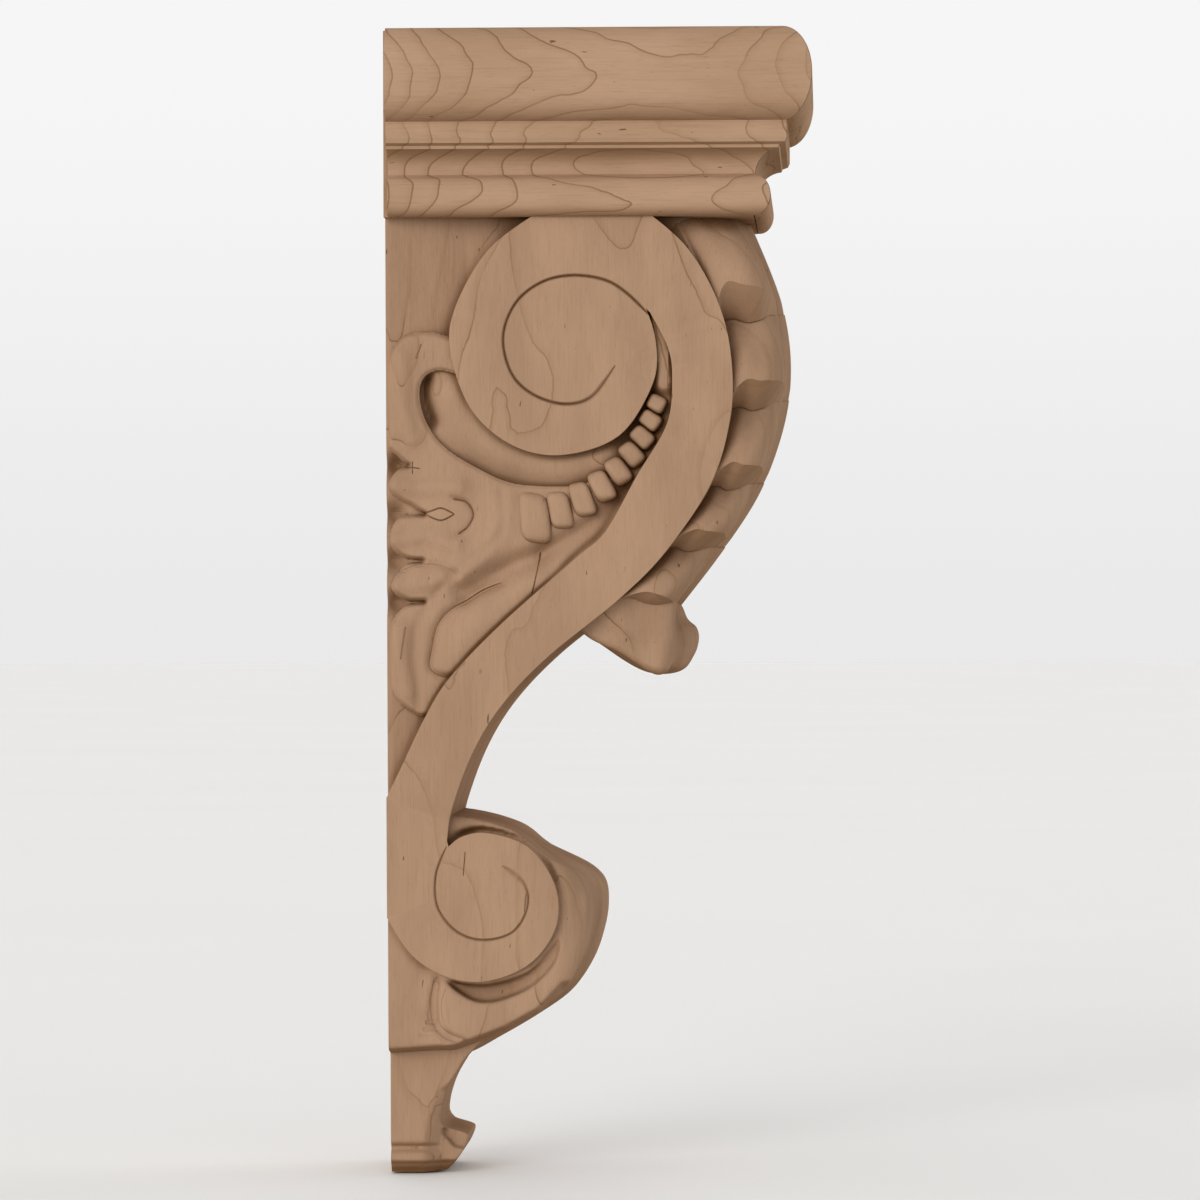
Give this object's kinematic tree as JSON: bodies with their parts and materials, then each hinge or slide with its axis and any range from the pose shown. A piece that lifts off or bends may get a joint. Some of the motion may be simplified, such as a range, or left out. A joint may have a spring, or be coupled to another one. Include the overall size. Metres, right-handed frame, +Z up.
{
  "type": "wooden corbel bracket",
  "caption": "Carved wooden corbel bracket: S-shaped scroll sides with volutes and acanthus leaves under a mitred roll-and-cove cap, for fixing flat to a wall.",
  "frame": {"origin": "middle of the flat back face that meets the wall, halfway up and halfway across", "axes": "+Z up; +Y out of the back face, into the wall; the bracket stands out from the wall along -Y; +X across the width, to the right of someone facing the bracket's front"},
  "size_m": [0.127, 0.1233, 0.33],
  "materials": {
    "carved_wood": "bare hardwood, sanded, grain upright",
    "cap_wood": "bare hardwood, sanded, grain along each moulding"
  },
  "bodies": {
    "root": {"carved_bracket": "carved_wood", "cap_moulding_left": "cap_wood", "cap_moulding_front": "cap_wood", "cap_moulding_right": "cap_wood"}
  },
  "joints": []
}
